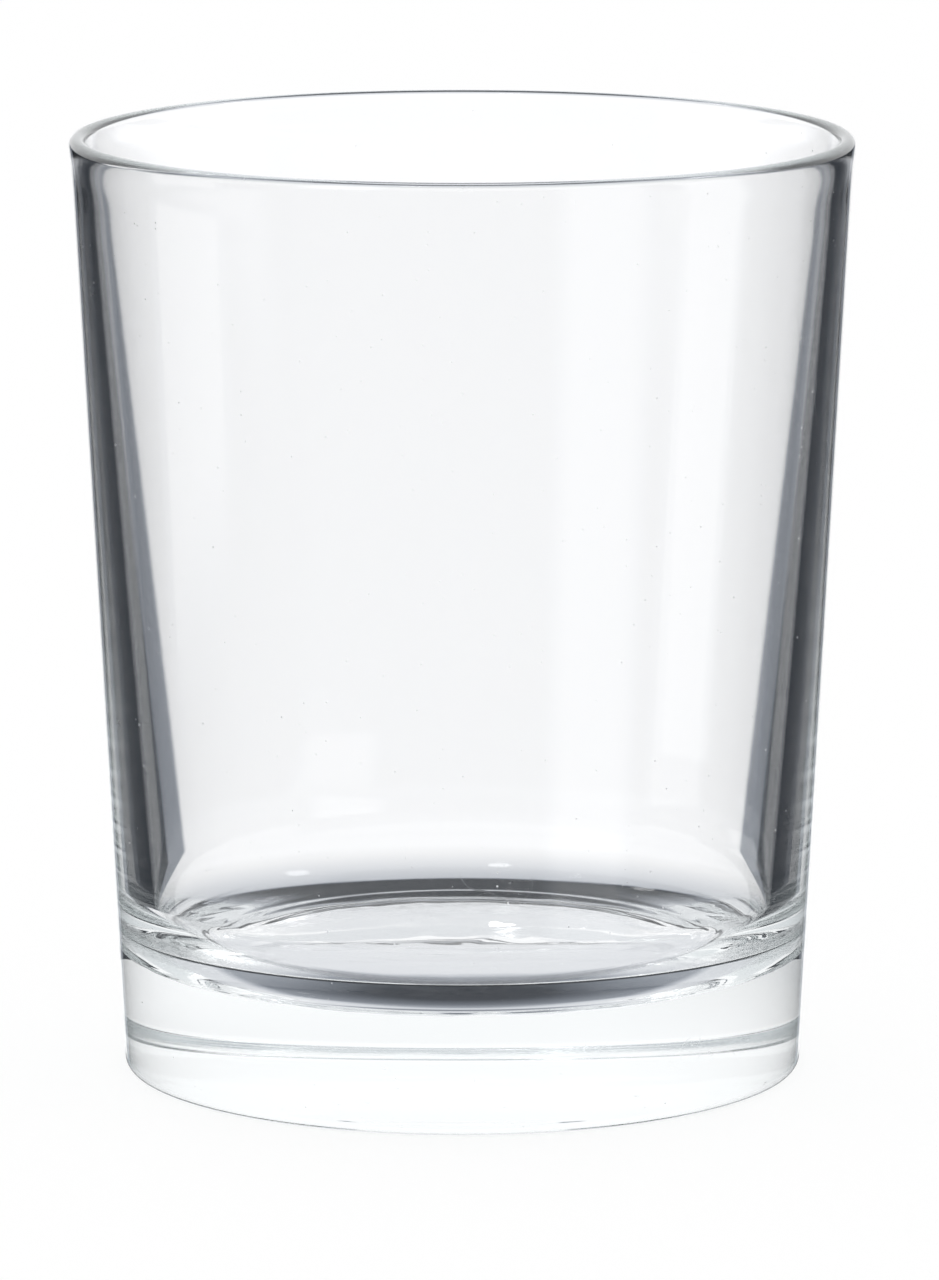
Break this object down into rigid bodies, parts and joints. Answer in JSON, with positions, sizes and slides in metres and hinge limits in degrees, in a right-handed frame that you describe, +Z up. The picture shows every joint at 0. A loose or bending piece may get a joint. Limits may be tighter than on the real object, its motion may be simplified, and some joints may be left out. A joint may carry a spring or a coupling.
{
  "type": "water glass",
  "caption": "Plain clear water glass: a tapered tumbler with a rounded lip, a wall that thickens downwards, a round inner corner and a heavy base with a shallow dome beneath.",
  "frame": {"origin": "middle of the foot, level with the table", "axes": "+Z up along the axis of the glass and out of its mouth; X and Y are free, because the glass is turned"},
  "size_m": [0.079, 0.079, 0.095],
  "materials": {
    "clear_glass": "polished"
  },
  "bodies": {
    "root": {"tumbler": "clear_glass"}
  },
  "joints": []
}
